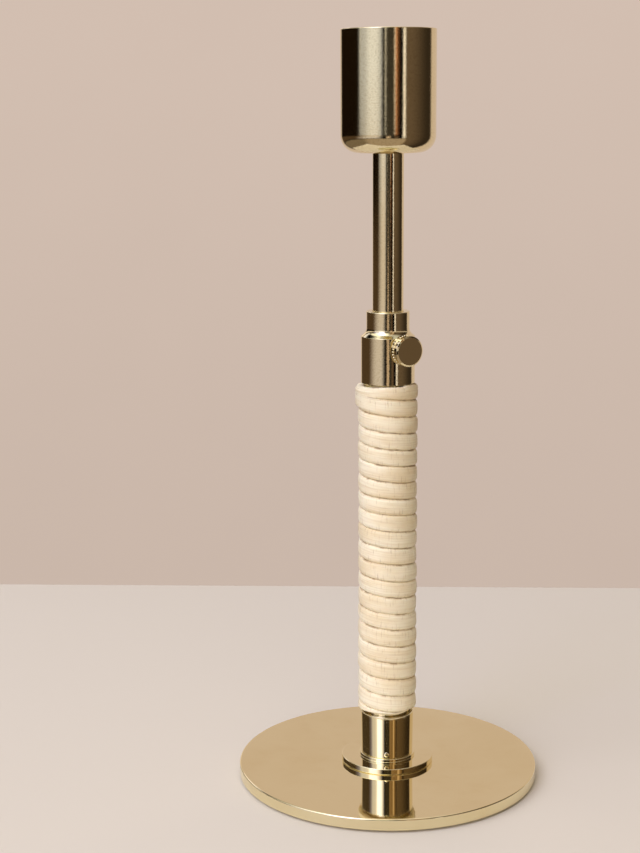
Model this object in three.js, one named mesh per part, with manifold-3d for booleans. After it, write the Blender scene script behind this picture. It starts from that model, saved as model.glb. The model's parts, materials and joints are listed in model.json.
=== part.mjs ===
// A telescopic brass candlestick: a round base, a cane-wound stem and a candle cup on a rod.
// The rod slides and turns in the stem, and a knurled thumb screw clamps it.
// Millimetres, +Z up. The origin is the middle of the underside, and the thumb screw points along -Y.

import * as THREE from 'three';
import { mergeVertices } from 'three/addons/utils/BufferGeometryUtils.js';
import Module from 'manifold-3d';

const wasm = await Module();
wasm.setup();

// Driving dimensions. Heights are measured from the underside of the pad.

const largeFacets = 48;
const smallFacets = 24;
const fitGap = 0.3;

const padDiameter = 74;
const padThickness = 0.6;
const baseDiameter = 80;
const baseThickness = 3;
const flangeDiameter = 24.5;
const flangeThickness = 1.6;
const baseScrewDiameter = 5;
const plugLength = 9;
const bossDiameter = 14.8;
const bossHeight = 0.8;
const plateEdgeRadius = 0.4;

const tubeDiameter = 12;
const tubeBore = 10.4;
const ferruleTop = 17.65;
const ferruleFootDiameter = 13.7;
const windingBottom = 18.4;
const windingTop = 107;
const windingDiameter = 15.5;
const windingPitch = 4.44;
const windingStepsPerTurn = 16;
const windingStart = THREE.MathUtils.degToRad(91.6);

const collarDiameter = 14;
const collarShoulderTop = 119.2;
const shoulderHeight = 1.2;
const neckDiameter = 11.2;
const neckTop = 125.7;
const spigotLength = 6.9;

const rodDiameter = 8;
const rodBottom = 59.8;
const bushLength = 8;
const guideScrewDiameter = 3;
const guideWasherThickness = 0.6;

const cupDiameter = 24.3;
const cupBottom = 165.9;
const cupTop = 196.5;
const cupCornerRadius = 7.4;
const candleBore = 22.6;
const candleDepth = 25.1;
const cupScrewDiameter = 4;
const cupScrewDepth = 8;
const cupCounterboreDepth = 2.9;
const cupWasherThickness = 0.6;

const thumbScrewHeight = 116.4;
const thumbScrewThread = 4;
const thumbScrewTip = 5.1;
const thumbScrewHead = 7.86;
const thumbScrewHeadStart = 7.75;
const thumbScrewHeadLength = 3.2;
const thumbScrewBevel = 0.45;
const knurlCount = 34;
const grubScrewHeight = 7.1;
const grubScrewThread = 1.4;
const grubScrewBearing = THREE.MathUtils.degToRad(-32);

// Heights and radii that follow from them.

const plateTop = padThickness + baseThickness;
const flangeTop = plateTop + flangeThickness;
const bossTop = flangeTop + bossHeight;
const plugTop = bossTop + plugLength;
const collarBottom = windingTop + 0.1;
const cupFloor = cupTop - candleDepth;
const screwHoleRadius = baseScrewDiameter / 2 + fitGap;
const guideScrewRadius = guideScrewDiameter / 2;
const cupScrewRadius = cupScrewDiameter / 2;
const cupCounterboreFloor = cupFloor - cupCounterboreDepth;
const rodRadius = rodDiameter / 2;

const brass = { color: 0xd9c08a, roughness: 0.18, metalness: 1 };
const satinBrass = { color: 0xcdb37c, roughness: 0.3, metalness: 1 };
const steel = { color: 0x8c8b88, roughness: 0.35, metalness: 1 };
const cane = { color: 0xe3cfa8, roughness: 0.65, metalness: 0 };
const felt = { color: 0x2b2622, roughness: 0.95, metalness: 0 };
const nylon = { color: 0xe8e4da, roughness: 0.5, metalness: 0 };

// Turns a closed [radius, height] outline about the Z axis. The outline runs up the outside.
function turned(outline, facets) {
  const points = outline.map(([radius, height]) => new THREE.Vector2(radius, height));
  return new THREE.LatheGeometry(points, facets).rotateX(Math.PI / 2);
}

// A ring of rectangular section.
function ring(innerRadius, outerRadius, bottom, top, facets) {
  return turned([
    [innerRadius, bottom], [outerRadius, bottom], [outerRadius, top], [innerRadius, top],
    [innerRadius, bottom],
  ], facets);
}

// A plain round bar.
function bar(radius, bottom, top, facets) {
  return turned([[0, bottom], [radius, bottom], [radius, top], [0, top]], facets);
}

// Points of a quarter round of the given radius about a centre, from one angle to another.
function arc(centreRadius, centreHeight, radius, fromDegrees, toDegrees, steps) {
  return Array.from({ length: steps + 1 }, (_, step) => {
    const angle = THREE.MathUtils.degToRad(
      fromDegrees + (toDegrees - fromDegrees) * step / steps);
    return [centreRadius + radius * Math.cos(angle), centreHeight + radius * Math.sin(angle)];
  });
}

// A closed three.js geometry as a solid that can be cut.
function solidOf(geometry) {
  const bare = new THREE.BufferGeometry();
  bare.setAttribute('position', geometry.getAttribute('position').clone());
  bare.setIndex(geometry.getIndex());
  const merged = mergeVertices(bare, 1e-4);
  const corners = merged.getIndex().array;
  const kept = [];
  for (let i = 0; i < corners.length; i += 3) {
    const [a, b, c] = [corners[i], corners[i + 1], corners[i + 2]];
    if (a !== b && b !== c && c !== a) kept.push(a, b, c);
  }
  return new wasm.Manifold(new wasm.Mesh({
    numProp: 3,
    vertProperties: new Float32Array(merged.getAttribute('position').array),
    triVerts: new Uint32Array(kept),
  }));
}

// The solid body with each cutter taken away, as a geometry again.
function cut(body, cutters) {
  const result = cutters.reduce((solid, cutter) => solid.subtract(solidOf(cutter)), solidOf(body));
  const mesh = result.getMesh();
  const geometry = new THREE.BufferGeometry();
  geometry.setAttribute('position', new THREE.BufferAttribute(mesh.vertProperties, 3));
  geometry.setIndex(new THREE.BufferAttribute(mesh.triVerts, 1));
  return geometry;
}

// A six-sided key socket going up from the bottom of a screw head.
function keySocket(acrossFlats, bottom, top) {
  const radius = acrossFlats / 2 / Math.cos(Math.PI / 6);
  return bar(radius, bottom, top, 6);
}

// A radial hole at a height, pointing along the bearing from -Y.
function radialHole(radius, height, from, to, bearing) {
  return bar(radius, from, to, smallFacets)
    .rotateX(Math.PI / 2)
    .rotateZ(bearing)
    .translate(0, 0, height);
}

function basePad() {
  return bar(padDiameter / 2, 0, padThickness, largeFacets);
}

// The plate has a rounded top edge, and a countersunk hole for the screw from below.
function basePlate() {
  const radius = baseDiameter / 2;
  const lowerChamfer = 0.3;
  const countersink = 5;
  return turned([
    [countersink, padThickness],
    [radius - lowerChamfer, padThickness],
    [radius, padThickness + lowerChamfer],
    ...arc(radius - plateEdgeRadius, plateTop - plateEdgeRadius, plateEdgeRadius, 0, 90, 3),
    [screwHoleRadius, plateTop],
    [screwHoleRadius, padThickness + countersink - screwHoleRadius],
    [countersink, padThickness],
  ], largeFacets);
}

// The flange has a low boss in the middle, and the stem stands on it.
function baseFlange() {
  const radius = flangeDiameter / 2;
  const bossRadius = bossDiameter / 2;
  const chamfer = 0.2;
  return turned([
    [screwHoleRadius, plateTop],
    [radius - chamfer, plateTop],
    [radius, plateTop + chamfer],
    [radius, flangeTop - chamfer],
    [radius - chamfer, flangeTop],
    [bossRadius, flangeTop],
    [bossRadius, bossTop - chamfer],
    [bossRadius - chamfer, bossTop],
    [screwHoleRadius, bossTop],
    [screwHoleRadius, plateTop],
  ], largeFacets);
}

// A countersunk socket screw that pulls the plug down on to the plate.
function baseScrew() {
  const headBottom = padThickness + 0.1;
  const headRadius = 4.55;
  const shankRadius = baseScrewDiameter / 2;
  const tip = plugTop - 1.2;
  const body = turned([
    [0, headBottom],
    [headRadius, headBottom],
    [shankRadius, headBottom + headRadius - shankRadius],
    [shankRadius, tip],
    [0, tip],
  ], smallFacets);
  return cut(body, [keySocket(3, headBottom - 1, headBottom + 1.7)]);
}

// The plug closes the foot of the tube and holds the base screw.
function footPlug() {
  const radius = tubeBore / 2 - fitGap / 2;
  const body = ring(screwHoleRadius, radius, bossTop, plugTop, smallFacets * 2);
  const dimple = radialHole(grubScrewThread / 2 + fitGap, grubScrewHeight, 4.2, 7, grubScrewBearing);
  return cut(body, [dimple]);
}

function coreTube() {
  const body = ring(tubeBore / 2, tubeDiameter / 2, bossTop, windingTop - 0.2, largeFacets);
  const hole = radialHole(grubScrewThread / 2 + fitGap, grubScrewHeight, 3, 8, grubScrewBearing);
  return cut(body, [hole]);
}

// The polished sleeve round the foot of the tube, below the winding. It narrows a little downwards.
function footFerrule() {
  const radius = collarDiameter / 2;
  const footRadius = ferruleFootDiameter / 2;
  const bore = tubeDiameter / 2 + 0.15;
  const chamfer = 0.2;
  const body = turned([
    [bore, bossTop],
    [footRadius - chamfer, bossTop],
    [footRadius, bossTop + chamfer],
    [radius, ferruleTop - chamfer],
    [radius - chamfer, ferruleTop],
    [bore, ferruleTop],
    [bore, bossTop],
  ], largeFacets);
  const hole = radialHole(grubScrewThread / 2 + fitGap, grubScrewHeight, 5, 9, grubScrewBearing);
  return cut(body, [hole]);
}

// A small domed set screw through the ferrule and the tube into the plug.
function footGrubScrew() {
  const radius = grubScrewThread / 2;
  const innerEnd = 4.7;
  const domeStart = collarDiameter / 2 - 0.1;
  return turned([
    [0, innerEnd],
    [radius, innerEnd],
    [radius, domeStart],
    [radius * 0.72, domeStart + 0.28],
    [0, domeStart + 0.4],
  ], 12);
}

// One flat strip wound down the tube as a left-hand helix, with both ends trimmed level.
// A long thin box is bent round: its length becomes the angle and its height follows the pitch.
function caneWinding() {
  const seam = 0.12;
  const endWidth = 0.5;
  const inner = tubeDiameter / 2 + fitGap;
  const outer = windingDiameter / 2;
  const turns = (windingTop - windingBottom + windingPitch - 2 * endWidth) / windingPitch;
  const firstUpperEdge = windingTop + windingPitch - endWidth;
  const steps = Math.round(turns * windingStepsPerTurn);
  const strip = new THREE.BoxGeometry(1, 1, 1, steps, 1, 1);
  const position = strip.getAttribute('position');
  for (let i = 0; i < position.count; i += 1) {
    const along = (position.getX(i) + 0.5) * turns;
    const upper = Math.min(firstUpperEdge - along * windingPitch, windingTop);
    const lowerEdge = firstUpperEdge - (along + 1) * windingPitch + seam;
    const lower = Math.max(lowerEdge, windingBottom);
    const angle = windingStart + along * 2 * Math.PI;
    const radius = position.getZ(i) > 0 ? outer : inner;
    const height = position.getY(i) > 0 ? upper : lower;
    position.setXYZ(i, radius * Math.sin(angle), -radius * Math.cos(angle), height);
  }
  return strip;
}

// The collar closes the top of the stem: a spigot in the tube, a wide band with the tapped
// hole for the thumb screw, a sloping shoulder and a neck that guides the rod.
function lockingCollar() {
  const bore = rodRadius + 0.1;
  const radius = collarDiameter / 2;
  const neck = neckDiameter / 2;
  const spigot = tubeBore / 2 - fitGap / 2;
  const edge = 0.2;
  const body = turned([
    [bore, collarBottom - spigotLength],
    [spigot, collarBottom - spigotLength],
    [spigot, collarBottom],
    [radius, collarBottom],
    [radius, collarShoulderTop],
    [neck, collarShoulderTop + shoulderHeight],
    [neck, neckTop - edge],
    [neck - edge, neckTop],
    [bore + edge, neckTop],
    [bore, neckTop - edge],
    [bore, collarBottom - spigotLength],
  ], largeFacets);
  const tapped = radialHole(thumbScrewThread / 2 + fitGap, thumbScrewHeight, 2, 9, 0);
  return cut(body, [tapped]);
}

// A round head with a knurled rear band on a short threaded shank. It runs outwards along Z.
function thumbScrew() {
  const radius = thumbScrewHead / 2;
  const start = thumbScrewHeadStart;
  const end = start + thumbScrewHeadLength;
  const shank = thumbScrewThread / 2;
  const body = turned([
    [0, thumbScrewTip],
    [shank, thumbScrewTip],
    [shank, start],
    [radius - 0.3, start],
    [radius, start + 0.3],
    [radius, end - thumbScrewBevel],
    [radius - thumbScrewBevel, end],
    [0, end],
  ], knurlCount * 2);
  const groove = bar(0.26, start + 0.8, start + 2.2, 8).translate(0, -radius, 0);
  const grooves = Array.from({ length: knurlCount },
    (_, i) => groove.clone().rotateZ((i + 0.5) * 2 * Math.PI / knurlCount));
  return cut(body, grooves);
}

// The soft slug that presses on the rod, so that the screw doesn't mark it.
function thumbScrewPad() {
  const gap = 0.05;
  return bar(1.7, rodRadius + gap, thumbScrewTip - gap, smallFacets);
}

// The rod has a thin lower end for the guide bush, and a tapped hole in each end.
function liftRod() {
  const spigot = 2.8;
  const spigotTop = rodBottom + bushLength + 0.3;
  const lowerTap = guideScrewRadius + fitGap;
  const upperTap = cupScrewRadius + fitGap;
  const lowerTapTop = rodBottom + 7;
  const upperTapBottom = cupBottom - cupScrewDepth - 2;
  const chamfer = 0.3;
  return turned([
    [lowerTap, rodBottom],
    [spigot, rodBottom],
    [spigot, spigotTop],
    [rodRadius, spigotTop],
    [rodRadius, cupBottom - chamfer],
    [rodRadius - chamfer, cupBottom],
    [upperTap, cupBottom],
    [upperTap, upperTapBottom],
    [0, upperTapBottom],
    [0, lowerTapTop],
    [lowerTap, lowerTapTop],
    [lowerTap, rodBottom],
  ], largeFacets);
}

// The bush slides in the tube and stops the rod under the collar.
function rodGuideBush() {
  const gap = 0.1;
  const bottom = rodBottom + gap;
  return ring(2.9, tubeBore / 2 - gap, bottom, bottom + bushLength, largeFacets);
}

function rodGuideWasher() {
  const bore = guideScrewRadius + fitGap / 2;
  return ring(bore, 4.4, rodBottom - guideWasherThickness, rodBottom, smallFacets);
}

function rodGuideScrew() {
  const headTop = rodBottom - guideWasherThickness;
  const headBottom = headTop - 1.9;
  const headRadius = 2.8;
  const tip = rodBottom + 6;
  const body = turned([
    [0, headBottom],
    [headRadius - 0.4, headBottom],
    [headRadius, headBottom + 0.5],
    [headRadius, headTop],
    [guideScrewRadius, headTop],
    [guideScrewRadius, tip],
    [0, tip],
  ], smallFacets);
  return cut(body, [keySocket(2, headBottom - 1.1, headBottom + 1.1)]);
}

// The cup is turned from the solid: rounded outside below, with a flat-bottomed candle bore.
function candleCup() {
  const radius = cupDiameter / 2;
  const bore = candleBore / 2;
  const lip = 0.25;
  const screwHole = cupScrewRadius + fitGap;
  const counterbore = 4;
  return turned([
    [screwHole, cupBottom],
    ...arc(radius - cupCornerRadius, cupBottom + cupCornerRadius, cupCornerRadius, -90, 0, 6),
    [radius, cupTop - lip],
    [radius - lip, cupTop],
    [bore + lip, cupTop],
    [bore, cupTop - lip],
    [bore, cupFloor],
    [counterbore, cupFloor],
    [counterbore, cupCounterboreFloor],
    [screwHole, cupCounterboreFloor],
    [screwHole, cupBottom],
  ], largeFacets);
}

function cupWasher() {
  const top = cupCounterboreFloor + cupWasherThickness;
  return ring(cupScrewRadius + fitGap / 2, 3.6, cupCounterboreFloor, top, smallFacets);
}

// The screw that joins the cup to the rod, with its head sunk below the candle.
function cupScrew() {
  const headBottom = cupCounterboreFloor + cupWasherThickness;
  const headTop = headBottom + 2;
  const headRadius = 3.5;
  const body = turned([
    [0, cupBottom - cupScrewDepth],
    [cupScrewRadius, cupBottom - cupScrewDepth],
    [cupScrewRadius, headBottom],
    [headRadius, headBottom],
    [headRadius, headTop - 0.5],
    [headRadius - 0.5, headTop],
    [0, headTop],
  ], smallFacets);
  return cut(body, [keySocket(2.5, headTop - 1.1, headTop + 1)]);
}

function piece(name, geometry, finish) {
  const mesh = new THREE.Mesh(geometry, new THREE.MeshStandardMaterial(finish));
  mesh.name = name;
  return mesh;
}

// Lays pieces that were turned about Z along a radius of the stem, at a height and a bearing.
function laidRadially(height, bearing, ...pieces) {
  const group = new THREE.Group();
  group.position.z = height;
  group.rotation.z = bearing;
  for (const mesh of pieces) {
    mesh.rotation.x = Math.PI / 2;
    group.add(mesh);
  }
  return group;
}

const candlestick = new THREE.Group();

candlestick.add(
  piece('base_pad', basePad(), felt),
  piece('base_plate', basePlate(), brass),
  piece('base_flange', baseFlange(), brass),
  piece('base_screw', baseScrew(), steel),
  piece('foot_plug', footPlug(), satinBrass),
  piece('core_tube', coreTube(), satinBrass),
  piece('foot_ferrule', footFerrule(), brass),
  laidRadially(grubScrewHeight, grubScrewBearing, piece('foot_grub_screw', footGrubScrew(), steel)),
  piece('cane_winding', caneWinding(), cane),
  piece('locking_collar', lockingCollar(), satinBrass),
  laidRadially(thumbScrewHeight, 0,
    piece('thumb_screw', thumbScrew(), brass),
    piece('thumb_screw_pad', thumbScrewPad(), nylon)),
  piece('lift_rod', liftRod(), satinBrass),
  piece('rod_guide_bush', rodGuideBush(), nylon),
  piece('rod_guide_washer', rodGuideWasher(), steel),
  piece('rod_guide_screw', rodGuideScrew(), steel),
  piece('candle_cup', candleCup(), satinBrass),
  piece('cup_washer', cupWasher(), steel),
  piece('cup_screw', cupScrew(), steel),
);

export default candlestick;
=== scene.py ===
import json
import math

import bpy
import numpy as np
from mathutils import Matrix, Vector


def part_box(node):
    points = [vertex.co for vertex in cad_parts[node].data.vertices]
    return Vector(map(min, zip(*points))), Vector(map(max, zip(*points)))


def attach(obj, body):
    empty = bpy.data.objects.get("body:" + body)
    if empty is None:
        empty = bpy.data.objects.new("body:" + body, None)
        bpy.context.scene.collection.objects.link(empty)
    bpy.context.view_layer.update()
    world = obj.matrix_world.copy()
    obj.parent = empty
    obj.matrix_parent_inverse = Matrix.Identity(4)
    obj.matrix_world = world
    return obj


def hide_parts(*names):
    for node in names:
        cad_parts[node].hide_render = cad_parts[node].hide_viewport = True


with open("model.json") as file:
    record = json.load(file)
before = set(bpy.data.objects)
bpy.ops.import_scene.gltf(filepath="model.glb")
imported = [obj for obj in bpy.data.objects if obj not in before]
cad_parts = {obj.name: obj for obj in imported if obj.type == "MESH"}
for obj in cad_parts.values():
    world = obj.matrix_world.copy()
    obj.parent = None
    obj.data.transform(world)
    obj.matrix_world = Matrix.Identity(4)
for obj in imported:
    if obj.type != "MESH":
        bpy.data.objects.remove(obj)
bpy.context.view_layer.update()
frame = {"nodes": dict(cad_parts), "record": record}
print("frame loaded:", len(frame["nodes"]), "CAD nodes")

mm = 0.001  # shapes are worked out in millimetres and stored in metres
fullTurn = 2 * math.pi
sharpEdge = math.radians(35)  # an edge that turns more than this is shaded sharp

# How an outline's corners are rounded: the most of a side that an arc may take up, how far
# outside an arc its support points stand, and the angle between the arc's points.
rounding = {"mostOfSide": 0.45, "supportOfBend": 0.3, "supportOfSide": 0.04, "stepDegrees": 15}


# Turns grid points, rows by columns, into a mesh of quads. Columns always close on
# themselves. Rows close too when loop is true, and otherwise the first and last row are
# one point each, on the axis, with a fan of triangles round it.
def gridMesh(name, grid, loop):
    rows, columns = grid.shape[:2]
    column = np.arange(columns)
    nextColumn = (column + 1) % columns
    if loop:
        vertices = grid.reshape(-1, 3)
        start = np.arange(rows)[:, None] * columns
        above = np.roll(start, -1, axis=0)
        fans = []
    else:
        poles = np.stack([grid[0, 0], grid[-1, 0]])
        vertices = np.concatenate([grid[1:-1].reshape(-1, 3), poles])
        start = np.arange(rows - 3)[:, None] * columns
        above = start + columns
        last = (rows - 3) * columns
        bottomPole = np.full(columns, (rows - 2) * columns)
        fans = [
            np.stack([bottomPole, nextColumn, column], 1),
            np.stack([last + column, last + nextColumn, bottomPole + 1], 1),
        ]
    quads = np.stack([start + column, start + nextColumn, above + nextColumn, above + column], 2)
    faces = quads.reshape(-1, 4).tolist() + [f for fan in fans for f in fan.tolist()]
    mesh = bpy.data.meshes.new(name)
    mesh.from_pydata((vertices * mm).tolist(), [], faces)
    mesh.update()
    return mesh


# Puts a mesh in the scene with one material, smooth except at its sharp edges.
def addPiece(name, mesh, material):
    mesh.polygons.foreach_set("use_smooth", np.ones(len(mesh.polygons), bool))
    mesh.set_sharp_from_angle(angle=sharpEdge)
    mesh.materials.append(material)
    piece = bpy.data.objects.new(name, mesh)
    bpy.context.scene.collection.objects.link(piece)
    return piece


# Rounds an outline's corners. Each corner is (radius, height, fillet). The arc touches both
# sides at fillet * tan(half the turn) from the corner, and its points are the arc's centre
# plus the fillet along the turning normal. A support point just outside each end of the arc
# keeps the flats flat when they are shaded smooth.
def rounded(corners, loop, stepDegrees=rounding["stepDegrees"]):
    spots = np.array([corner[:2] for corner in corners], float)
    outline = []
    for i, corner in enumerate(corners):
        fillet = corner[2]
        isEnd = not loop and i in (0, len(corners) - 1)
        if isEnd or fillet == 0:
            outline.append(spots[i][None])
            continue
        into = spots[i] - spots[i - 1]
        away = spots[(i + 1) % len(corners)] - spots[i]
        shortest = min(np.hypot(*into), np.hypot(*away))
        into /= np.hypot(*into)
        away /= np.hypot(*away)
        turn = math.atan2(into[0] * away[1] - into[1] * away[0], into @ away)
        halfTangent = math.tan(abs(turn) / 2)
        reach = min(fillet * halfTangent, rounding["mostOfSide"] * shortest)
        bend = reach / halfTangent
        normal = np.array([-into[1], into[0]]) * math.copysign(1, turn)
        centre = spots[i] - into * reach + normal * bend
        steps = max(2, math.ceil(abs(math.degrees(turn)) / stepDegrees))
        angle = np.linspace(0, turn, steps + 1)
        spoke = -normal * bend
        arc = centre + np.stack([
            spoke[0] * np.cos(angle) - spoke[1] * np.sin(angle),
            spoke[0] * np.sin(angle) + spoke[1] * np.cos(angle)], 1)
        slack = min(rounding["supportOfBend"] * bend, rounding["supportOfSide"] * shortest)
        outline += [(arc[0] - into * slack)[None], arc, (arc[-1] + away * slack)[None]]
    return np.concatenate(outline)


# Adds points to an outline's upward sides between two heights, a step apart, so that a cut
# or a relief there has a fine grid. Only sides further out than the given radius get them.
def refined(outline, low, high, step, outside):
    following = np.roll(outline, -1, axis=0)
    isOutside = (outline[:, 0] > outside) & (following[:, 0] > outside)
    parts = []
    for here, after, wanted in zip(outline, following, isOutside):
        parts.append(here[None])
        crosses = wanted and after[1] > here[1] + step and here[1] < high and after[1] > low
        if crosses:
            heights = np.arange(max(here[1] + step, low), min(after[1] - step, high), step)
            share = (heights - here[1]) / (after[1] - here[1])
            parts.append(here + share[:, None] * (after - here))
    return np.concatenate(parts)


# Turns an outline about Z: x = r sin(a), y = -r cos(a), so angle 0 is -Y. relief, if given,
# is a function of angle, height and radius that says how much radius is taken away there.
def turned(outline, columns, relief=None):
    angle = np.arange(columns) * fullTurn / columns
    radius = np.repeat(outline[:, :1], columns, axis=1)
    height = np.repeat(outline[:, 1:], columns, axis=1)
    if relief:
        radius = radius - relief(angle[None], height, radius)
    return np.stack([radius * np.sin(angle), -radius * np.cos(angle), height], 2)


# Lays a shape that was turned about Z along a radius of the stem: its height becomes the
# distance from the axis, at a bearing from -Y and a height above the table.
def laidRadially(grid, height, bearing):
    across, upward, outward = grid[..., 0], grid[..., 1], grid[..., 2]
    sine, cosine = math.sin(bearing), math.cos(bearing)
    x = across * cosine + outward * sine
    y = across * sine - outward * cosine
    return np.stack([x, y, upward + height], -1)


# Cuts a cutter mesh out of a piece, and leaves a plain mesh with no modifier on it.
def cutOut(piece, cutterMesh):
    cutter = bpy.data.objects.new("cutter", cutterMesh)
    bpy.context.scene.collection.objects.link(cutter)
    modifier = piece.modifiers.new("cut", "BOOLEAN")
    modifier.operation = "DIFFERENCE"
    modifier.solver = "EXACT"
    modifier.object = cutter
    graph = bpy.context.evaluated_depsgraph_get()
    result = bpy.data.meshes.new_from_object(piece.evaluated_get(graph))
    piece.modifiers.clear()
    piece.data = result
    bpy.data.objects.remove(cutter)
    result.set_sharp_from_angle(angle=sharpEdge)


# A bar to cut with, as many-sided as it has columns. It stands upright on the stem's axis,
# or lies along a radius of the stem when a height is given.
def barMesh(radius, low, high, columns, height=None, bearing=0):
    outline = np.array([[0, low], [radius, low], [radius, high], [0, high]], float)
    grid = turned(outline, columns)
    if height is not None:
        grid = laidRadially(grid, height, bearing)
    return gridMesh("cutter", grid, False)


# A shader socket, wrapped so that arithmetic on it adds Math nodes.
class Signal:
    def __init__(self, paint, socket):
        self.paint = paint
        self.socket = socket

    def maths(self, operation, first, second=0.0):
        values = {0: first, 1: second}
        return self.paint.node("ShaderNodeMath", {"operation": operation}, values)

    def __add__(self, other):
        return self.maths("ADD", self, other)

    def __radd__(self, other):
        return self.maths("ADD", other, self)

    def __sub__(self, other):
        return self.maths("SUBTRACT", self, other)

    def __rsub__(self, other):
        return self.maths("SUBTRACT", other, self)

    def __mul__(self, other):
        return self.maths("MULTIPLY", self, other)

    def __rmul__(self, other):
        return self.maths("MULTIPLY", other, self)

    def __abs__(self):
        return self.maths("ABSOLUTE", self)


# Adds nodes to one material's or world's tree.
class Paint:
    def __init__(self, tree):
        self.tree = tree
        tree.nodes.clear()

    # Adds any node: its settings first, then the values or links of its sockets.
    def node(self, kind, settings=None, inputs=None, output=0):
        made = self.tree.nodes.new(kind)
        for key, value in (settings or {}).items():
            setattr(made, key, value)
        for key, value in (inputs or {}).items():
            if isinstance(value, Signal):
                self.tree.links.new(value.socket, made.inputs[key])
            else:
                made.inputs[key].default_value = value
        return Signal(self, made.outputs[output]) if len(made.outputs) else None

    def noise(self, vector, scale, detail=4.0, roughness=0.55):
        return self.node("ShaderNodeTexNoise", {"noise_dimensions": "3D"},
                         {"Vector": vector, "Scale": scale, "Detail": detail,
                          "Roughness": roughness})

    def stretched(self, vector, scale):
        return self.node("ShaderNodeMapping", {"vector_type": "POINT"},
                         {"Vector": vector, "Scale": scale})

    # Goes smoothly from 0 to 1 as the value goes from low to high.
    def ease(self, value, low, high):
        return self.node("ShaderNodeMapRange", {"interpolation_type": "SMOOTHSTEP"},
                         {"Value": value, "From Min": low, "From Max": high})

    # Mixes two colours: the first where the share is 0, the second where it is 1.
    def blend(self, share, first, second):
        settings = {"data_type": "RGBA", "blend_type": "MIX"}
        return self.node("ShaderNodeMix", settings, {0: share, 6: first, 7: second}, 2)

    def bump(self, height, distance, strength, under=None):
        inputs = {"Height": height, "Distance": distance, "Strength": strength}
        if under:
            inputs["Normal"] = under
        return self.node("ShaderNodeBump", {}, inputs)


def newMaterial(name, build):
    material = bpy.data.materials.new(name)
    material.use_nodes = True
    paint = Paint(material.node_tree)
    paint.node("ShaderNodeOutputMaterial", {}, {"Surface": build(paint)})
    return material


def objectPlace(paint):
    return paint.node("ShaderNodeTexCoord", {}, {}, "Object")


# The brass finishes share three colours. Noise scales are per metre, and depths in metres.
brassColours = {
    "light": (0.87, 0.775, 0.50, 1),
    "deep": (0.80, 0.675, 0.39, 1),
    "grain": (0.64, 0.54, 0.32, 1),
}
polishedLook = {
    "toneScale": 45, "smearScale": 190, "wipeScale": (700, 3200, 1800), "pitScale": 3800,
    "toneShare": 0.35, "smearShare": 0.2, "roughness": 0.04, "smearRoughness": 0.05,
    "pitRoughness": 0.1, "wipeDepth": 0.000012, "wipeStrength": 0.12,
}


# Mirror brass: a slow change of tone, faint smears in the gloss and hair-fine wipe marks.
def polishedBrass(paint):
    look = polishedLook
    place = objectPlace(paint)
    tone = paint.ease(paint.noise(place, look["toneScale"], 3), 0.35, 0.7)
    smear = paint.ease(paint.noise(place, look["smearScale"], 5, 0.62), 0.48, 0.8)
    wipe = paint.noise(paint.stretched(place, look["wipeScale"]), 1, 2)
    pits = paint.ease(paint.noise(place, look["pitScale"], 2), 0.70, 0.78)
    deepShare = tone * look["toneShare"] + smear * look["smearShare"]
    worn = smear * look["smearRoughness"] + pits * look["pitRoughness"]
    return paint.node("ShaderNodeBsdfPrincipled", {}, {
        "Base Color": paint.blend(deepShare, brassColours["light"], brassColours["deep"]),
        "Metallic": 1.0, "Roughness": worn + look["roughness"],
        "Normal": paint.bump(wipe, look["wipeDepth"], look["wipeStrength"])})


satinLook = {
    "toneScale": 60, "ringScale": (90, 90, 7000), "speckScale": (2100, 2100, 2700),
    "scuffScale": 320, "toneShare": 0.35, "grainShare": 0.5, "roughness": 0.03,
    "speckRoughness": 0.09, "scuffRoughness": 0.1, "ringDepth": 0.00001, "ringStrength": 0.22,
    "speckDepth": 0.00003, "speckStrength": 0.42,
}


# Satin brass: fine rings turned round it, and a speckled grain that shows in the highlights.
def satinBrass(paint):
    look = satinLook
    place = objectPlace(paint)
    tone = paint.ease(paint.noise(place, look["toneScale"], 4), 0.35, 0.7)
    rings = paint.noise(paint.stretched(place, look["ringScale"]), 1, 3)
    specks = paint.noise(paint.stretched(place, look["speckScale"]), 1, 3, 0.7)
    scuffs = paint.ease(paint.noise(place, look["scuffScale"], 5, 0.65), 0.55, 0.8)
    plain = paint.blend(tone * look["toneShare"], brassColours["light"], brassColours["deep"])
    grainShare = paint.ease(specks, 0.45, 0.7) * look["grainShare"]
    worn = specks * look["speckRoughness"] + scuffs * look["scuffRoughness"]
    fine = paint.bump(rings, look["ringDepth"], look["ringStrength"])
    return paint.node("ShaderNodeBsdfPrincipled", {}, {
        "Base Color": paint.blend(grainShare, plain, brassColours["grain"]),
        "Metallic": 1.0, "Roughness": worn + look["roughness"],
        "Normal": paint.bump(specks, look["speckDepth"], look["speckStrength"], fine)})


caneLook = {
    "pale": (0.92, 0.85, 0.645, 1), "straw": (0.77, 0.62, 0.375, 1),
    "fibre": (0.52, 0.36, 0.18, 1), "brown": (0.32, 0.18, 0.07, 1),
    # how closely each pattern repeats along the strip and across it
    "fibres": (0.13, 6.5, 1), "streaks": (0.06, 1.6, 1), "patches": (0.09, 0.3, 1),
    "cracks": (6.0, 0.6, 1), "specks": (2.2, 5.0, 1), "edges": (0.45, 0.1, 1),
    # how strongly each of them shows in the colour
    "patchShare": 0.6, "streakShare": 0.4, "fibreShare": 0.35, "crackShare": 0.3,
    "speckShare": 0.4, "edgeBrownAndSeamShadeShare": 0.6,
    "roughness": 0.5, "fibreRoughness": 0.2, "crackHeight": 0.8, "depth": 0.00006,
    "strength": 0.6, "glow": 0.06, "glowRadius": (0.9, 0.5, 0.25), "glowScale": 0.001,
}
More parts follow.
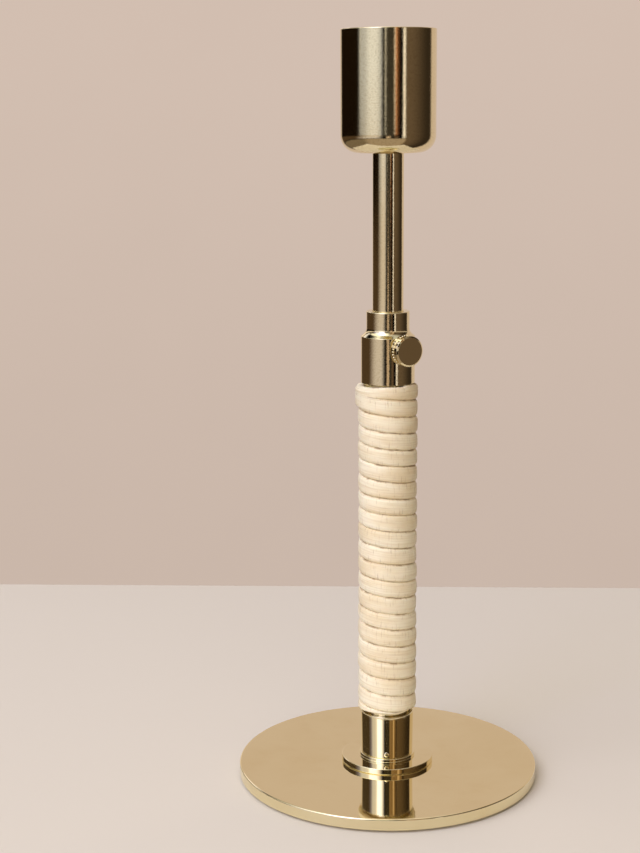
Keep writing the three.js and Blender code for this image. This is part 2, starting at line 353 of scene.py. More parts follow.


# Split cane: fibres and streaks along the strip, short cracks across it, dark specks, and
# brown stretches on its two edges, partly the cane's own brown and partly painted shade in
# the seams between turns. The map's unit is half the strip's width.
def caneFibre(paint):
    look = caneLook
    place = paint.node("ShaderNodeUVMap", {"uv_map": "strip"}, {})

    def pattern(name, low, high, detail=4):
        spread = paint.stretched(place, look[name])
        return paint.ease(paint.noise(spread, 1, detail, 0.6), low, high)

    across = abs(paint.node("ShaderNodeSeparateXYZ", {}, {"Vector": place}, "Y"))
    fibres = pattern("fibres", 0.4, 0.75, 5)
    cracks = pattern("cracks", 0.57, 0.68)
    # painted shade: brown stretches darken the strip near both edges, where the seams between turns
    # lie, partly also the cane's own brown edges
    edges = paint.ease(across, 0.80, 0.97) * pattern("edges", 0.47, 0.6)
    patches = pattern("patches", 0.4, 0.65)
    streaks = pattern("streaks", 0.5, 0.75)
    specks = pattern("specks", 0.7, 0.76)
    marks = cracks * look["crackShare"] + specks * look["speckShare"]
    colour = paint.blend(patches * look["patchShare"], look["pale"], look["straw"])
    colour = paint.blend(streaks * look["streakShare"], colour, look["straw"])
    colour = paint.blend(fibres * look["fibreShare"], colour, look["fibre"])
    colour = paint.blend(marks, colour, look["brown"])
    # the edge mask mixes in brown that is partly painted seam shade
    colour = paint.blend(edges * look["edgeBrownAndSeamShadeShare"], colour, look["brown"])
    relief = fibres - cracks * look["crackHeight"]
    return paint.node("ShaderNodeBsdfPrincipled", {}, {
        "Base Color": colour, "Roughness": look["roughness"] + fibres * look["fibreRoughness"],
        "Normal": paint.bump(relief, look["depth"], look["strength"]),
        "Specular IOR Level": 0.35, "Subsurface Weight": look["glow"],
        "Subsurface Radius": look["glowRadius"], "Subsurface Scale": look["glowScale"]})


feltLook = {
    "dark": (0.02, 0.016, 0.012, 1), "light": (0.085, 0.068, 0.052, 1),
    "fuzzScale": 2600, "clumpScale": 420, "fuzzDepth": 0.0002, "sheen": 0.4,
}


# Wool felt: fuzz and clumps in equal shares.
def woolFelt(paint):
    look = feltLook
    place = objectPlace(paint)
    fuzz = paint.noise(place, look["fuzzScale"], 6, 0.7)
    clumps = paint.noise(place, look["clumpScale"], 4)
    lightShare = paint.ease(clumps * 0.5 + fuzz * 0.5, 0.35, 0.65)
    return paint.node("ShaderNodeBsdfPrincipled", {}, {
        "Base Color": paint.blend(lightShare, look["dark"], look["light"]),
        "Roughness": 0.95, "Sheen Weight": look["sheen"],
        "Normal": paint.bump(fuzz, look["fuzzDepth"], 0.8)})


steelLook = {
    "bright": (0.62, 0.60, 0.56, 1), "stained": (0.40, 0.36, 0.31, 1),
    "grainScale": (500, 500, 4000), "stainScale": 700, "roughness": 0.16, "grainDepth": 0.00001,
}


# Plated steel: a turned grain, and a dull stain in places.
def platedSteel(paint):
    look = steelLook
    place = objectPlace(paint)
    grain = paint.noise(paint.stretched(place, look["grainScale"]), 1, 4)
    stain = paint.ease(paint.noise(place, look["stainScale"], 4), 0.45, 0.75)
    return paint.node("ShaderNodeBsdfPrincipled", {}, {
        "Base Color": paint.blend(stain, look["bright"], look["stained"]),
        "Metallic": 1.0, "Roughness": grain * 0.2 + look["roughness"],
        "Normal": paint.bump(grain, look["grainDepth"], 0.3)})


nylonLook = {
    "pale": (0.86, 0.83, 0.76, 1), "shade": (0.76, 0.71, 0.62, 1),
    "cloudScale": 350, "roughness": 0.35, "cloudDepth": 0.00003,
}


# Natural nylon: a soft cloud in its colour and gloss.
def naturalNylon(paint):
    look = nylonLook
    cloud = paint.noise(objectPlace(paint), look["cloudScale"], 4)
    return paint.node("ShaderNodeBsdfPrincipled", {}, {
        "Base Color": paint.blend(cloud, look["pale"], look["shade"]),
        "Roughness": cloud * 0.2 + look["roughness"],
        "Normal": paint.bump(cloud, look["cloudDepth"], 0.4)})


polished = newMaterial("polished brass", polishedBrass)
satin = newMaterial("satin brass", satinBrass)
caneSkin = newMaterial("split cane", caneFibre)
feltCloth = newMaterial("wool felt", woolFelt)
steel = newMaterial("plated steel", platedSteel)
nylon = newMaterial("natural nylon", naturalNylon)
print("materials made")


# A CAD node's box, in millimetres.
def span(node):
    low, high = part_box(node)
    return low / mm, high / mm


def radiusOf(node):
    return span(node)[1].x


def heightsOf(node):
    low, high = span(node)
    return low.z, high.z


# Makes a piece that stands for a CAD node and moves with that node's body.
def finishPiece(name, mesh, material, node):
    piece = addPiece(name, mesh, material)
    body = next(b for b, members in frame["record"]["behaviour"]["bodies"].items()
                if node in members)
    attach(piece, body)
    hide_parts(node)
    return piece


# A piece whose outline is turned about the stem's axis.
def turnedPiece(name, node, corners, material, loop=True, columns=256):
    grid = turned(rounded(corners, loop), columns)
    return finishPiece(name, gridMesh(name, grid, loop), material, node)


plate = {"edgeRound": 0.4, "footRound": 0.15, "countersink": 5.0, "screwHole": 2.8,
         "holeRound": 0.05}
flange = {"boss": 7.4, "bossRise": 0.8, "footRound": 0.25, "edgeRound": 0.16,
          "bossFoot": 0.08, "bossEdge": 0.13}


# The plate is a turned slab with a countersunk hole. The cone's slope is 45 degrees, so it
# is as high as it is wide. The flange is a turned disc with a low boss, and the same hole.
def makeBase():
    low, high = heightsOf("base_plate")
    radius = radiusOf("base_plate")
    hole = plate["screwHole"]
    sink = plate["countersink"]
    small = plate["holeRound"]
    turnedPiece("basePlate", "base_plate", [
        (sink, low, small), (radius, low, plate["footRound"]),
        (radius, high, plate["edgeRound"]), (hole, high, small), (hole, low + sink - hole, small),
    ], polished, columns=512)
    low, high = heightsOf("base_flange")
    radius = radiusOf("base_flange")
    shelf = high - flange["bossRise"]
    turnedPiece("baseFlange", "base_flange", [
        (hole, low, small), (radius, low, flange["footRound"]),
        (radius, shelf, flange["edgeRound"]), (flange["boss"], shelf, flange["bossFoot"]),
        (flange["boss"], high, flange["bossEdge"]), (hole, high, small),
    ], polished, columns=384)


felt = {"inset": 0.1, "edgeRound": 0.12}


# A disc with a softly frayed edge: the rim's radius wavers by the sum of three sines.
def makeFelt():
    low, high = heightsOf("base_pad")
    radius = radiusOf("base_pad")
    rim = radius - felt["inset"]
    edge = felt["edgeRound"]
    outline = rounded([(0, low, 0), (rim, low, edge), (rim, high, edge), (0, high, 0)], False, 30)

    def fray(angle, height, around):
        broad = 0.04 * np.sin(angle * 37)
        narrow = 0.03 * np.sin(angle * 91 + 1.3)
        hairs = 0.03 * np.sin(angle * 173 + height * 6)
        return (broad + narrow + hairs) * (around > radius - 1)

    grid = turned(outline, 512, fray)
    finishPiece("feltPad", gridMesh("feltPad", grid, False), feltCloth, "base_pad")


grub = {"height": 7.1, "bearing": math.radians(-32), "hole": 0.8, "radius": 0.7,
        "inner": 4.7, "seat": 6.86, "dome": 0.14}
ferrule = {"bore": 6.15, "foot": 6.85, "footRound": 0.12, "topRound": 0.24, "holeRound": 0.05,
           "boreRound": 0.1, "fineLow": 0.2, "fineHigh": 3, "fineStep": 0.12,
           "wall": 0.5, "cutFrom": 4, "cutTo": 9}


# A turned sleeve, a little narrower at its foot, with a hole for the set screw.
def makeFerrule():
    f = ferrule
    low, high = heightsOf("foot_ferrule")
    radius = radiusOf("foot_ferrule")
    outline = rounded([
        (f["bore"], low, f["holeRound"]), (f["foot"], low, f["footRound"]),
        (radius, high, f["topRound"]), (f["bore"], high, f["boreRound"]),
    ], True)
    fine = (low + f["fineLow"], low + f["fineHigh"], f["fineStep"])
    outline = refined(outline, *fine, radius - f["wall"])
    piece = finishPiece("footFerrule", gridMesh("footFerrule", turned(outline, 512), True),
                        polished, "foot_ferrule")
    cutOut(piece, barMesh(grub["hole"], f["cutFrom"], f["cutTo"], 48, grub["height"],
                          grub["bearing"]))


# A turned pin along a radius of the stem. Its dome is a quarter circle, flattened to a fifth
# of its radius.
def makeGrubScrew():
    angle = np.linspace(0, math.pi / 2, 9)
    dome = np.stack([grub["radius"] * np.cos(angle), grub["seat"] + grub["dome"] * np.sin(angle)], 1)
    outline = np.concatenate([[[0, grub["inner"]], [grub["radius"], grub["inner"]]], dome])
    grid = laidRadially(turned(outline, 64), grub["height"], grub["bearing"])
    finishPiece("footGrubScrew", gridMesh("footGrubScrew", grid, False),
                satin, "foot_grub_screw")


collar = {
    "bore": 4.1, "spigot": 5.05, "neck": 5.6, "neckFoot": 120.4, "shoulder": 1.2,
    "threadHole": 2.3, "aboveCane": 0.1, "fineHalf": 3, "fineStep": 0.15,
    "wall": 0.5, "cutFrom": 2, "cutTo": 9,
    "spigotRound": 0.1, "innerRound": 0.05, "shoulderRound": 0.12, "neckFootRound": 1.8,
    "topRound": 0.22, "boreRound": 0.2,
}


# A turned sleeve on a spigot, with a sloping shoulder that runs up into a narrower neck, and
# a hole for the thumb screw.
def makeCollar():
    c = collar
    low, high = heightsOf("locking_collar")
    radius = radiusOf("locking_collar")
    band = heightsOf("cane_winding")[1] + c["aboveCane"]
    outline = rounded([
        (c["bore"], low, c["spigotRound"]), (c["spigot"], low, c["spigotRound"]),
        (c["spigot"], band, c["innerRound"]), (radius, band, c["spigotRound"]),
        (radius, c["neckFoot"] - c["shoulder"], c["shoulderRound"]),
        (c["neck"], c["neckFoot"], c["neckFootRound"]), (c["neck"], high, c["topRound"]),
        (c["bore"], high, c["boreRound"]),
    ], True)
    screw = thumb["height"]
    fine = (screw - c["fineHalf"], screw + c["fineHalf"], c["fineStep"])
    outline = refined(outline, *fine, radius - c["wall"])
    piece = finishPiece("lockingCollar", gridMesh("lockingCollar", turned(outline, 512), True),
                        satin, "locking_collar")
    cutOut(piece, barMesh(c["threadHole"], c["cutFrom"], c["cutTo"], 64, screw))


rod = {"tail": 2.8, "tailLength": 8.3, "screwHole": 1.8, "screwDepth": 7, "cupHole": 2.3,
       "cupDepth": 10}


# A turned rod with a thinner tail for the guide bush, and a screw hole in each end.
def makeRod():
    r = rod
    low, high = heightsOf("lift_rod")
    radius = radiusOf("lift_rod")
    holeEnd = low + r["screwDepth"]
    step = low + r["tailLength"]
    cupEnd = high - r["cupDepth"]
    turnedPiece("liftRod", "lift_rod", [
        (0, holeEnd, 0), (r["screwHole"], holeEnd, 0.05), (r["screwHole"], low, 0.1),
        (r["tail"], low, 0.15), (r["tail"], step, 0.1), (radius, step, 0.2),
        (radius, high, 0.15), (r["cupHole"], high, 0.1), (r["cupHole"], cupEnd, 0.05),
        (0, cupEnd, 0),
    ], satin, loop=False)


thumb = {
    "height": 116.4, "shank": 2.0, "tip": 5.1, "start": 7.75, "length": 3.2, "radius": 3.93,
    "bevelIn": 0.43, "bevelAlong": 0.3, "grooves": 34, "grooveDepth": 0.38,
    "grooveHalfWidth": 0.25, "grooveHalfLength": 0.6, "grooveMiddle": 1.45,
    "columnsPerGroove": 24, "fineStep": 0.07, "tipRound": 0.3, "backRound": 0.3,
    "rootRound": 0.05, "bevelRound": 0.1,
}


# The head is turned, with a row of oval hollows pressed into its rear band. Each hollow is
# the lower half of an ellipsoid: depth * sqrt(1 - across squared - along squared).
def makeThumbScrew():
    t = thumb
    start = t["start"]
    end = start + t["length"]
    radius = t["radius"]
    outline = rounded([
        (0, t["tip"], 0), (t["shank"], t["tip"], t["tipRound"]),
        (t["shank"], start, t["rootRound"]), (radius, start, t["backRound"]),
        (radius, end - t["bevelAlong"], t["bevelRound"]),
        (radius - t["bevelIn"], end, t["bevelRound"]), (0, end, 0),
    ], False)
    outline = refined(outline, start + t["backRound"], end - 2 * t["bevelAlong"],
                      t["fineStep"], radius - 0.1)
    pitch = fullTurn / t["grooves"]

    def hollows(angle, height, around):
        across = ((angle / pitch) % 1 - 0.5) * pitch * radius / t["grooveHalfWidth"]
        along = (height - start - t["grooveMiddle"]) / t["grooveHalfLength"]
        inside = np.clip(1 - across ** 2 - along ** 2, 0, 1)
        return t["grooveDepth"] * np.sqrt(inside) * (around > radius - 0.05)

    columns = t["grooves"] * t["columnsPerGroove"]
    grid = laidRadially(turned(outline, columns, hollows), t["height"], 0)
    finishPiece("thumbScrew", gridMesh("thumbScrew", grid, False),
                polished, "thumb_screw")


cup = {"corner": 7.4, "bore": 11.3, "depth": 25.1, "screwHole": 2.3, "sink": 4.0,
       "sinkDepth": 2.9, "rimRound": 0.22, "floorRound": 0.4, "sinkRound": 0.15,
       "holeRound": 0.1, "stepDegrees": 6}


# A turned cup with a round lower corner, a rounded rim, a bore with a flat floor, and a sink
# in the floor for the screw's head.
def makeCup():
    low, high = heightsOf("candle_cup")
    radius = radiusOf("candle_cup")
    floor = high - cup["depth"]
    sinkFloor = floor - cup["sinkDepth"]
    corners = [
        (cup["screwHole"], low, cup["holeRound"]), (radius, low, cup["corner"]),
        (radius, high, cup["rimRound"]), (cup["bore"], high, cup["rimRound"]),
        (cup["bore"], floor, cup["floorRound"]), (cup["sink"], floor, cup["sinkRound"]),
        (cup["sink"], sinkFloor, cup["holeRound"]),
        (cup["screwHole"], sinkFloor, cup["holeRound"]),
    ]
    grid = turned(rounded(corners, True, cup["stepDegrees"]), 384)
    finishPiece("candleCup", gridMesh("candleCup", grid, True), satin, "candle_cup")


cupScrew = {"shank": 2, "head": 3.5, "headHeight": 2, "topRound": 0.5, "tipRound": 0.3,
            "socketAcross": 2.5, "socketDepth": 1.1}


# A turned screw with a six-sided socket. A hexagon's corners stand half its width across the
# flats, over cos 30 degrees, from its middle.
def makeCupScrew():
    s = cupScrew
    low, high = heightsOf("cup_screw")
    head = high - s["headHeight"]
    grid = turned(rounded([
        (0, low, 0), (s["shank"], low, s["tipRound"]), (s["shank"], head, 0.05),
        (s["head"], head, 0.15), (s["head"], high, s["topRound"]), (0, high, 0),
    ], False), 128)
    piece = finishPiece("cupScrew", gridMesh("cupScrew", grid, False), steel,
                        "cup_screw")
    socket = s["socketAcross"] / 2 / math.cos(math.pi / 6)
    cutOut(piece, barMesh(socket, high - s["socketDepth"], high + 1, 6))


winding = {
    "pitch": 4.44, "inner": 6.02, "crown": 7.75, "start": math.radians(91.6), "endWidth": 0.5,
    "stepsPerTurn": 120, "sectionPoints": 32, "acrossPower": 3.6, "outPower": 2.2,
    "seamBow": 0.75, "gap": 0.05, "nibble": 0.16, "narrowest": 0.05,
    # random wavers: how many knots to a turn, and their size
    "seamWaver": (4, 0.09), "seamShiver": (23, 0.025), "gapWaver": (7, 1.0),
    "biteWaver": (42, 1.0), "swell": (3, 0.05), "ripple": (17, 0.02), "lean": (5, 0.06),
    # the top's shallow notch, and the bottom's rise towards the front and tilt to its side
    "notch": 0.22, "notchEnd": math.radians(4), "notchMiddle": math.radians(-40),
    "notchHalf": 1.6, "front": math.radians(-31), "bottomDrop": 0.05, "bottomRise": 0.65,
    "bottomTilt": 0.25,
    # the swelling over the tucked end
    "knotBearing": math.radians(-112), "knotSwell": 0.75, "knotWidth": math.radians(88),
    "knotTurns": 2.2, "knotRound": 1.1, "knotDrop": 0.45, "knotFoot": 1.6, "knotDome": 1.5,
}


# A smooth random line: values at evenly spaced knots, joined by the cosine of the share.
def wavering(rng, at, perTurn, size):
    at = np.maximum(at, 0) * perTurn
    knots = rng.normal(0, size, int(at.max()) + 2)
    knot = at.astype(int)
    share = (1 - np.cos((at - knot) * math.pi)) / 2
    return knots[knot] * (1 - share) + knots[knot + 1] * share


# Goes smoothly from 0 to 1: three times the square less twice the cube.
def smooth(share):
    share = np.clip(share, 0, 1)
    return share ** 2 * (3 - 2 * share)


# The angle of each point of the strip's section: even steps less half their sine, so that
# more of the points stand on the outer face.
def sectionAngles():
    share = np.arange(winding["sectionPoints"]) / winding["sectionPoints"] * fullTurn
    return share - 0.5 * np.sin(share)


# One coordinate of a superellipse: a sine or cosine, with its size raised to 2 / power.
def swollen(wave, power):
    return np.sign(wave) * np.abs(wave) ** (2 / power)


# One strip, wound down the tube. Its middle line is a helix. Across it the section is a
# superellipse, |across| ^ a + |out| ^ b = 1. The seam under each turn is the helix plus a
# sine bow that is highest halfway and a waver, and the turn below shares it. The top and
# bottom ends are trimmed nearly level.
# Near the knot, a smooth swelling of the first two turns covers the strip's tucked end.
def makeWinding():
    w = winding
    low, high = heightsOf("cane_winding")
    firstUpper = high + w["pitch"] - w["endWidth"]
    turns = (high - low + w["pitch"] - 2 * w["endWidth"]) / w["pitch"]
    along = np.linspace(0, turns, int(turns * w["stepsPerTurn"]))
    angle = w["start"] + along * fullTurn

    def seamLine(at):
        rng = np.random.default_rng(5)
        waver = wavering(rng, at, *w["seamWaver"]) + wavering(rng, at, *w["seamShiver"])
        bow = w["seamBow"] * np.sin(np.clip(at / turns, 0, 1) * math.pi)
        return firstUpper - (at + 1) * w["pitch"] + bow + waver

    def angleFrom(direction):
        return (angle - direction + math.pi) % fullTurn - math.pi

    # where the strip is trimmed at the top and the bottom
    nearKnot = smooth(1 - np.abs(angleFrom(w["knotBearing"])) / w["knotWidth"])
    pastNotch = np.clip(angleFrom(w["notchEnd"]) / 0.05, 0, 1)
    inNotch = np.abs(angleFrom(w["notchMiddle"])) < w["notchHalf"]
    top = high - w["notch"] * (1 - pastNotch) * inNotch - w["knotDrop"] * nearKnot
    fromFront = angleFrom(w["front"])
    frontRise = w["bottomRise"] * np.clip(np.cos(fromFront), 0, 1)
    bottom = low - w["bottomDrop"] + frontRise + w["bottomTilt"] * np.sin(fromFront)

    # the strip's two edges, with a thin gap and small bites along the lower one
    rng = np.random.default_rng(11)
    gap = w["gap"] * np.clip(wavering(rng, along, *w["gapWaver"]) - 0.4, 0, 2)
    bite = w["nibble"] * np.clip(wavering(rng, along, *w["biteWaver"]) - 1.55, 0, 1)
    upper = np.minimum(seamLine(along - 1) - gap / 2, top)
    lower = np.maximum(seamLine(along) + gap / 2 + bite, bottom)
    upper = np.maximum(upper, lower + w["narrowest"])
    swell = wavering(rng, along, *w["swell"]) + wavering(rng, along, *w["ripple"])
    lean = wavering(rng, along, *w["lean"])

    # the section, carried along the strip
    section = sectionAngles()
    across = swollen(np.sin(section), w["acrossPower"])[None]
    out = swollen(np.cos(section), w["outPower"])[None]
    height = (upper + lower)[:, None] / 2 + across * (upper - lower)[:, None] / 2
    thick = (w["crown"] - w["inner"]) / 2
    outer = thick + (swell[:, None] + lean[:, None] * across) / 2
    radius = w["inner"] + thick + np.where(out > 0, out * (2 * outer - thick), out * thick)

    # the swelling at the knot, which rises from its foot and is rounded off at the top
    intoKnot = (np.clip(3 * nearKnot, 0, 1) * (along < w["knotTurns"]))[:, None]
    turnedBy = ((angle - w["start"]) / fullTurn) % 1
    foot = firstUpper - (turnedBy + 2) * w["pitch"]
    fill = intoKnot * smooth((height - foot[:, None]) / w["knotFoot"]) * (out > -0.2)
    dip = np.clip((height - (top[:, None] - w["knotRound"])) / w["knotRound"], 0, 1)
    fallAway = w["knotDome"] * (1 - np.sqrt(1 - dip ** 2))
    dome = w["crown"] + w["knotSwell"] * nearKnot[:, None] - fallAway
    radius = radius * (1 - fill) + dome * fill

    x = radius * np.sin(angle)[:, None]
    y = -radius * np.cos(angle)[:, None]
    grid = np.stack([x, y, height], 2)
    firstEnd = grid[:1].mean(1, keepdims=True).repeat(w["sectionPoints"], 1)
    lastEnd = grid[-1:].mean(1, keepdims=True).repeat(w["sectionPoints"], 1)
    closed = np.concatenate([firstEnd, grid, lastEnd])
    return gridMesh("caneWinding", closed[:, ::-1], False)


# The strip's own map, in half widths: u runs along it, and v across it from -1 on the lower
# edge to 1 on the upper one.
def mapWinding(mesh):
    w = winding
    columns = w["sectionPoints"]
    corner = np.empty(len(mesh.loops), np.int32)
    mesh.loops.foreach_get("vertex_index", corner)
    index = np.arange(len(mesh.vertices))
    row = np.minimum(index // columns, (len(mesh.vertices) - 2) // columns - 1)
    across = swollen(np.sin(sectionAngles()), w["acrossPower"])[::-1][index % columns]
    length = row / w["stepsPerTurn"] * fullTurn * w["crown"] / (w["pitch"] / 2)
    place = np.stack([length, across], 1)[corner].astype(np.float32)
    layer = mesh.uv_layers.new(name="strip")
    layer.data.foreach_set("uv", place.ravel())


def makeCane():
    mesh = makeWinding()
    mapWinding(mesh)
    finishPiece("caneWinding", mesh, caneSkin, "cane_winding")


makeBase()
makeFelt()
makeFerrule()
makeGrubScrew()
makeCollar()
makeRod()
makeThumbScrew()
makeCup()
makeCupScrew()
makeCane()
print("visible pieces made")

# the hidden nodes keep their CAD meshes and get these finishes
hiddenFinish = {
    "base_screw": steel, "foot_plug": satin, "core_tube": satin, "thumb_screw_pad": nylon,
    "rod_guide_bush": nylon, "rod_guide_washer": steel, "rod_guide_screw": steel,
    "cup_washer": steel,
}
for node, material in hiddenFinish.items():
    frame["nodes"][node].material_slots[0].material = material
print("hidden nodes finished")


# The camera: where it stands and how it is turned, in millimetres and degrees. Its clip
# start is in metres.
shot = {"bearing": -31.0, "distance": 426.65, "height": 177.98, "pitch": 10.966,
        "yaw": -2.379, "roll": -0.339, "lens": 70.11, "sensor": 36, "clipStart": 0.01}


# Directions seen from the object: towards the camera, and to the camera's right.
def shotAxes():
    bearing = math.radians(shot["bearing"])
    toCamera = np.array([math.sin(bearing), -math.cos(bearing), 0])
    toRight = np.array([math.cos(bearing), math.sin(bearing), 0])
    return toCamera, toRight


# The camera looks along a level line to the object, turned aside by the yaw, then down by
# the pitch, and last about its own axis by the roll.
def makeCamera():
    toCamera, toRight = shotAxes()
    yaw = math.radians(shot["yaw"])
    pitch = math.radians(shot["pitch"])
    roll = math.radians(shot["roll"])
    level = toRight * math.sin(yaw) - toCamera * math.cos(yaw)
    forward = level * math.cos(pitch) - np.array([0, 0, math.sin(pitch)])
    right = np.cross(forward, [0, 0, 1])
    right /= np.linalg.norm(right)
    up = np.cross(right, forward)
    rolledRight = right * math.cos(roll) + up * math.sin(roll)
    rolledUp = up * math.cos(roll) - right * math.sin(roll)
    place = (toCamera * shot["distance"] + [0, 0, shot["height"]]) * mm
    matrix = np.eye(4)
    matrix[:3, :4] = np.stack([rolledRight, rolledUp, -forward, place], 1)
    data = bpy.data.cameras.new("camera")
    data.lens = shot["lens"]
    data.sensor_width = shot["sensor"]
    data.clip_start = shot["clipStart"]
    camera = bpy.data.objects.new("camera", data)
    camera.matrix_world = Matrix(matrix.tolist())
    bpy.context.scene.collection.objects.link(camera)
    bpy.context.scene.camera = camera


table = {
    "pale": (0.738, 0.688, 0.594, 1), "shade": (0.702, 0.643, 0.543, 1), "shadeShare": 0.3,
    "cloudScale": 9, "grainScale": 900, "roughness": 0.6, "grainDepth": 0.00005,
    # millimetres from the object to each side, and the block's own sizes
    "back": 178, "front": 80, "left": 160, "right": 106, "thick": 40, "edge": 3, "below": 0.02,
}


# A pale matt surface with a faint cloud and a fine grain.
def tableSurface(paint):
    place = objectPlace(paint)
    cloud = paint.noise(place, table["cloudScale"], 4)
    grain = paint.noise(place, table["grainScale"], 4)
    colour = paint.blend(cloud * table["shadeShare"], table["pale"], table["shade"])
    return paint.node("ShaderNodeBsdfPrincipled", {}, {
        "Base Color": colour, "Roughness": grain * 0.1 + table["roughness"],
        "Normal": paint.bump(grain, table["grainDepth"], 0.3)})


# A block with rounded edges whose back edge lies across the camera's view. Each ring is the
# outline moved in and down by a quarter circle. It stands just below the object, clear of it.
def makeTable():
    toCamera, toRight = shotAxes()
    t = table
    edge = t["edge"]
    ends = np.array([[-t["left"], -t["front"]], [t["right"], -t["front"]],
                     [t["right"], t["back"]], [-t["left"], t["back"]]], float)
    middle = ends.mean(0)
    turn = np.linspace(0, math.pi / 2, 7)
    inset = np.concatenate([[0, 0], edge * (1 - np.cos(turn)), [0]])
    height = np.concatenate([[-t["thick"]] * 2, edge * (np.sin(turn) - 1), [0]])
    flat = ends[None] - np.sign(ends - middle)[None] * inset[:, None, None]
    flat[[0, -1]] = middle
    place = flat[..., :1] * toRight - flat[..., 1:] * toCamera
    place[..., 2] = height[:, None] - t["below"]
    mesh = gridMesh("table", place, False)
    addPiece("table", mesh, newMaterial("pale table", tableSurface))


# The room is a world shader made of light panels. A panel's sides are four bearings: it
# starts, is full, is still full and ends. Its lifts are four elevations in the same way.
# Bearings are in degrees from the camera's direction, to its right.
panels = {
    "dimFront": ((-12, -6, 14, 17), (-16, -8, 60, 72), (0.045, 0.037, 0.028), 1.0),
    "window": ((-79, -65, -20, -11), (-2.2, -0.8, 60, 72), (1, 1, 1.15), 0.55),
    "windowCore": ((-62, -42, -32, -14), (-2.2, -0.8, 60, 72), (1, 1, 1.12), 0.33),
    "windowRod": ((-85, -40, -27, -9), (-8, -7, -2.2, -0.8), (1, 0.87, 0.83), 0.69),
    "windowFoot": ((-90, -50, -31, -11), (-16, -14, -8, -7), (1, 0.89, 0.92), 0.66),
    "leftFoot": ((-160, -150, -75, -50), (-16, -14, -4.6, -3.4), (0.08, 0.048, 0.026), 1.0),
    "leftDim": ((-156, -146, -80, -72), (-3, -1, 7, 10), (0.010, 0.005, 0.002), 1.0),
    "leftHigh": ((-150, -140, -85, -70), (10, 16, 26, 32), (0.07, 0.05, 0.035), 1.0),
    "windowHigh": ((-92, -70, -20, -9), (10, 16, 60, 72), (1, 1, 1.9), 0.25),
    "windowLamp": ((-50, -42, -30, -16), (10, 16, 60, 72), (1, 1, 2), 0.85),
    "skyLeft": ((-125, -105, -5, 15), (28, 38, 66, 76), (1, 0.98, 0.92), 1.2),
    "sideHigh": ((-172, -160, -122, -112), (23.5, 26, 32, 38), (1, 0.97, 1.1), 0.95),
    "softBand": ((-158, -146, 115, 125), (6, 9, 16, 18.5), (1, 0.86, 0.74), 0.45),
    "sideGlow": ((-176, -160, -100, -80), (6, 10, 16.5, 19.5), (1, 0.92, 0.88), 0.4),
    "leftLine": ((-73, -71.5, -70, -68.5), (0, 1, 8, 12), (1, 0.9, 0.8), 0.3),
    "midLine": ((-9, -7.5, -6, -4.5), (-1.8, -0.8, 8, 12), (1, 0.93, 0.9), 0.6),
    "goldLine": ((13, 14.5, 15.7, 17.2), (-1.8, -0.8, 8, 12), (1, 0.86, 0.76), 0.8),
    "copper": ((15.5, 17, 20, 22.5), (-3.5, -1, 8, 12), (0.55, 0.24, 0.12), 1.0),
    "copperShade": ((20, 22.5, 26, 28), (-3.5, -1, 8, 12), (0.07, 0.028, 0.01), 1.0),
    "footGold": ((-5.5, -3, 4, 6.5), (-16, -14, -6.5, -5.5), (0.62, 0.45, 0.34), 1.0),
    "footBrown": ((14, 17, 22, 26), (-16, -14, -6.5, -5.5), (0.13, 0.08, 0.05), 1.0),
    "edgeLine": ((34, 36.8, 39.8, 42.5), (-16, -14, 8, 12), (1, 0.9, 0.9), 1.15),
    "highBrown": ((9, 12, 34, 42), (12, 16, 60, 72), (0.27, 0.17, 0.095), 1.0),
    "highLine": ((25, 27, 30, 32.5), (12, 16, 60, 72), (0.4, 0.31, 0.24), 1.0),
    "rightGlow": ((40, 44, 50, 108), (-80, -50, 60, 72), (0.095, 0.064, 0.043), 1.0),
    "rightShade": ((40, 44, 118, 126), (-80, -50, 60, 72), (0.037, 0.025, 0.016), 1.0),
    "floorLeft": ((-150, -140, -70, -50), (-90, -88, -20, -15), (0.20, 0.15, 0.105), 1.0),
    "floorFront": ((-70, -50, 42, 46), (-90, -88, -20, -15), (0.38, 0.29, 0.215), 1.0),
    "ceiling": ((-179.9, -179.8, 179.8, 179.9), (45, 75, 91, 92), (0.95, 0.94, 0.92), 0.65),
}


# The plain wall that shows behind the object: its brightness at the foot, how much it gains
# over the given elevations, and the bearings between which the panels take its place in
# reflections.
wall = {
    "colour": (0.658, 0.527, 0.445), "open": (-156, -144, 117, 127), "lifts": (-17, 5),
    "foot": 0.885, "rise": 0.085, "mottle": 0.03, "mottleScale": 14,
}


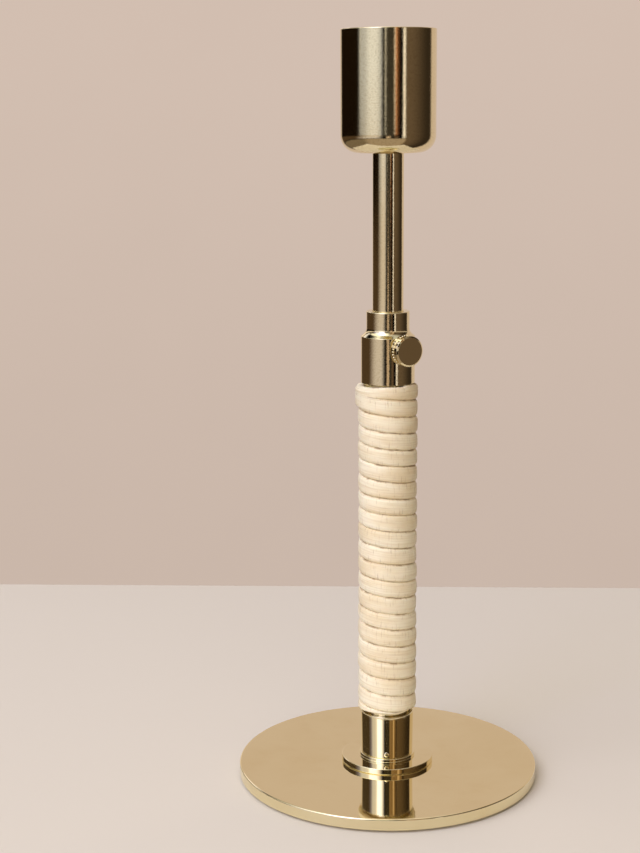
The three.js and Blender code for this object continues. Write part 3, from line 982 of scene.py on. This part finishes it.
# The sum of the wall and the panels. Each panel's light is its tint, times its power, times a
# smooth window in bearing and in elevation.
def roomLight(paint):
    toCamera, toRight = shotAxes()
    way = paint.node("ShaderNodeTexCoord", {}, {}, "Generated")

    def along(axis):
        return paint.node("ShaderNodeVectorMath", {"operation": "DOT_PRODUCT"},
                          {0: way, 1: tuple(axis)}, "Value")

    bearing = paint.node("ShaderNodeMath", {"operation": "ARCTAN2"},
                         {0: along(toRight), 1: along(toCamera)}) * (180 / math.pi)
    lift = paint.node("ShaderNodeMath", {"operation": "ARCSINE"},
                      {0: along((0, 0, 1))}) * (180 / math.pi)

    def between(value, start, full, still, end):
        return paint.ease(value, start, full) * (1 - paint.ease(value, still, end))

    def glow(tint, strength):
        return paint.node("ShaderNodeVectorMath", {"operation": "SCALE"},
                          {0: tint, "Scale": strength})

    room = glow(wall["colour"], 1 - between(bearing, *wall["open"]))
    for sides, lifts, tint, power in panels.values():
        light = glow(tint, between(bearing, *sides) * between(lift, *lifts) * power)
        room = paint.node("ShaderNodeVectorMath", {"operation": "ADD"}, {0: room, 1: light})
    seen = paint.node("ShaderNodeLightPath", {}, {}, "Is Camera Ray")
    mottle = paint.noise(way, wall["mottleScale"], 4)
    rise = paint.ease(lift, *wall["lifts"])
    shade = wall["foot"] + rise * wall["rise"] + mottle * wall["mottle"]
    colour = paint.blend(seen, room, glow(wall["colour"], shade))
    return paint.node("ShaderNodeBackground", {}, {"Color": colour, "Strength": 1.0})


def makeRoom():
    world = bpy.data.worlds.new("room")
    world.use_nodes = True
    paint = Paint(world.node_tree)
    paint.node("ShaderNodeOutputWorld", {}, {"Surface": roomLight(paint)})
    bpy.context.scene.world = world


# Big soft discs, seen by matt surfaces only, because the panels do the glints. They point at
# a height near the middle of the object. Sizes in metres, places in millimetres.
lampAim = 90
lamps = {
    "key": {"forward": 500, "left": 950, "height": 850, "size": 0.9, "energy": 2.8,
            "color": (1, 0.985, 0.95)},
    "fill": {"forward": 1000, "left": -50, "height": 260, "size": 0.8, "energy": 4.2,
             "color": (1, 0.91, 0.74)},
}


def makeLamps():
    toCamera, toRight = shotAxes()
    for name, lamp in lamps.items():
        data = bpy.data.lights.new(name, "AREA")
        data.shape = "DISK"
        data.size = lamp["size"]
        data.energy = lamp["energy"]
        data.color = lamp["color"]
        light = bpy.data.objects.new(name, data)
        place = toCamera * lamp["forward"] - toRight * lamp["left"] + [0, 0, lamp["height"]]
        light.location = place * mm
        light.rotation_mode = "QUATERNION"
        awayFromAim = Vector((place - [0, 0, lampAim]).tolist())
        light.rotation_quaternion = awayFromAim.to_track_quat("Z", "Y")
        light.visible_glossy = False
        bpy.context.scene.collection.objects.link(light)


makeCamera()
makeTable()
makeRoom()
makeLamps()
bpy.context.scene.view_settings.view_transform = "Standard"
print("stage, light and camera ready")
